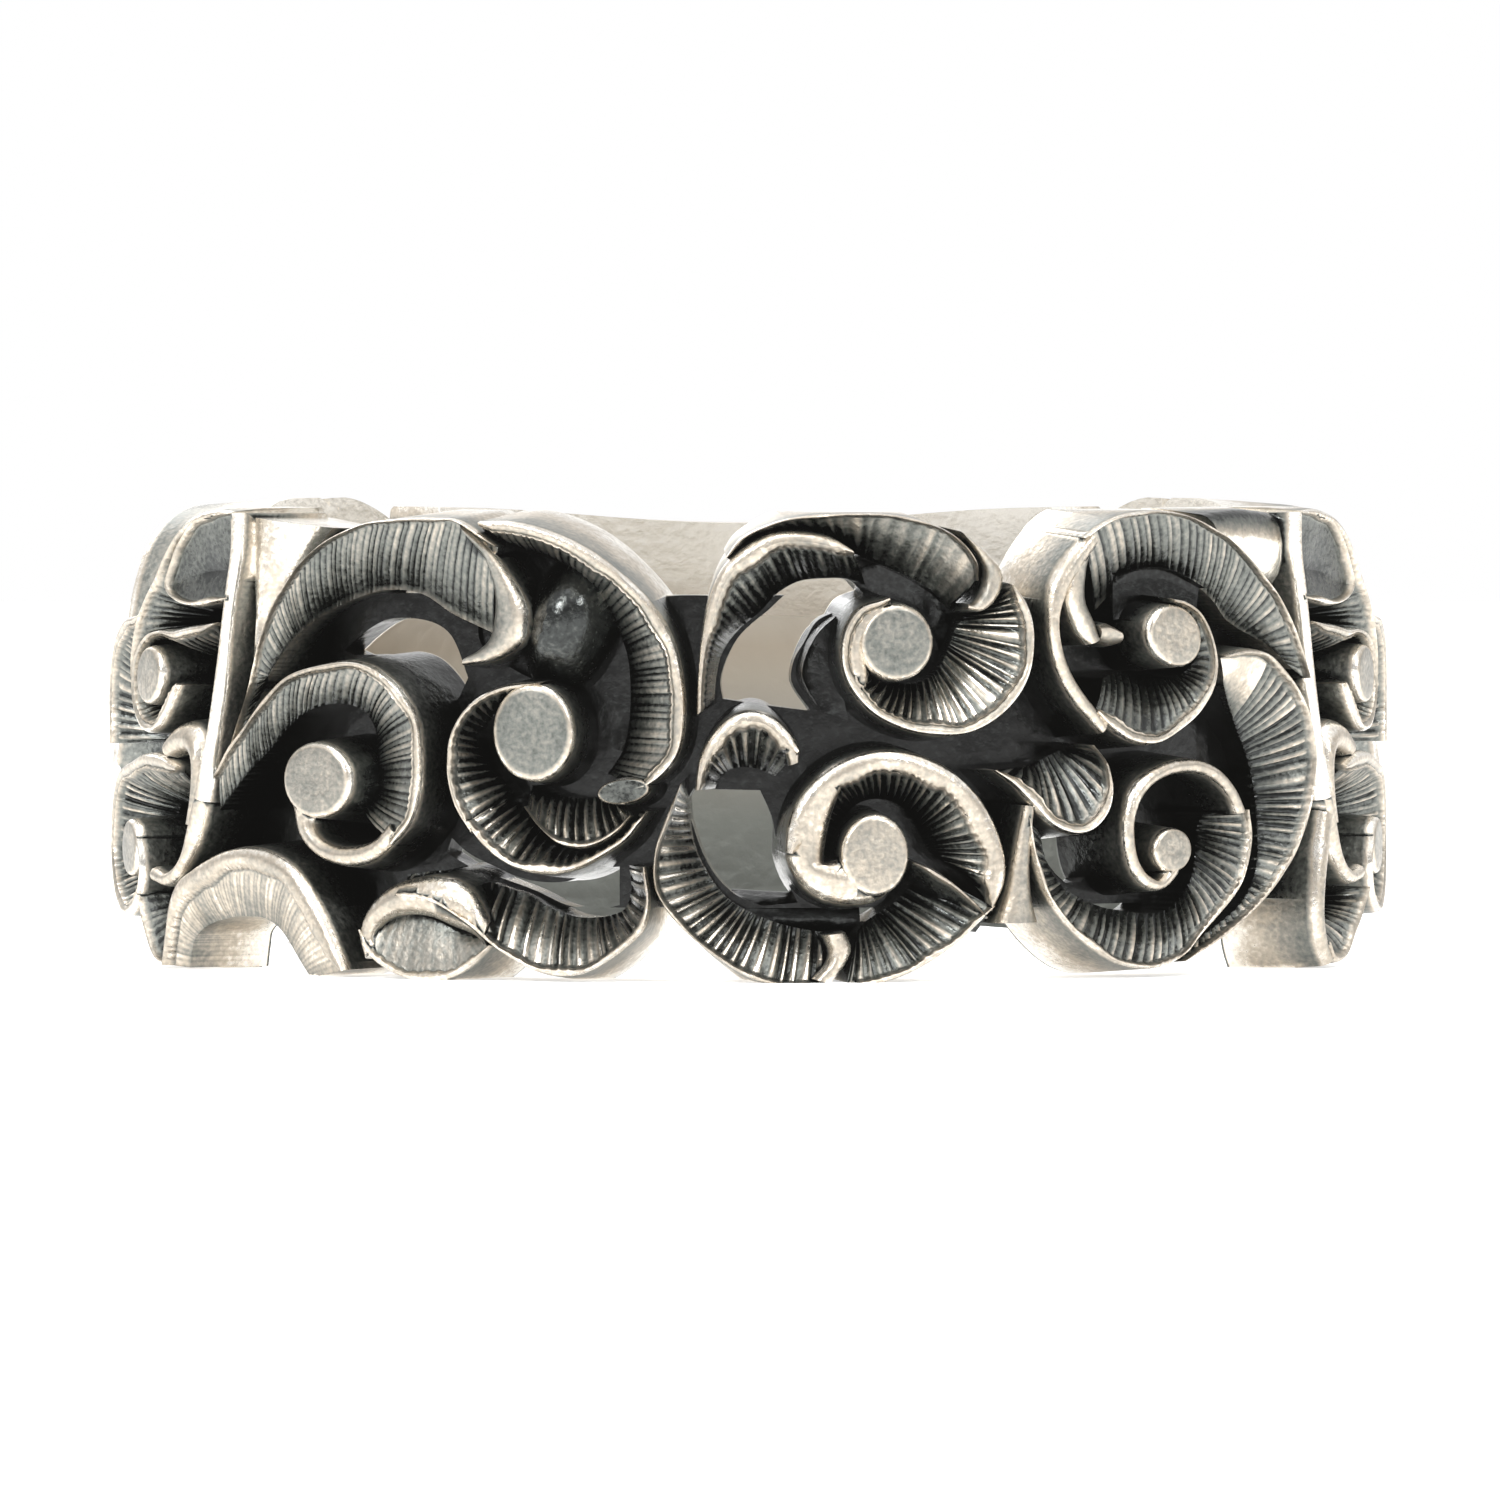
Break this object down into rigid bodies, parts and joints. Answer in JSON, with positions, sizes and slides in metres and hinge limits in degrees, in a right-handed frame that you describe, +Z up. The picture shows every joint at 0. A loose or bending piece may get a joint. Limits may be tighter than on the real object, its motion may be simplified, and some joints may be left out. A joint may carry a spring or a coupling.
{
  "type": "ring",
  "caption": "Pierced silver band ring with raised scrollwork in high relief and a plain narrowing shank.",
  "frame": {"origin": "on the finger bore's axis, level with the lowest scrolls that the ring rests on", "axes": "+Z up along the bore, -Y towards the middle of the ornament, +X to the right seen from the front"},
  "size_m": [0.0219, 0.0216, 0.0078],
  "materials": {
    "silver": "polished rims over an oxidised ground"
  },
  "bodies": {
    "root": {"ring_band": "silver"}
  },
  "joints": []
}
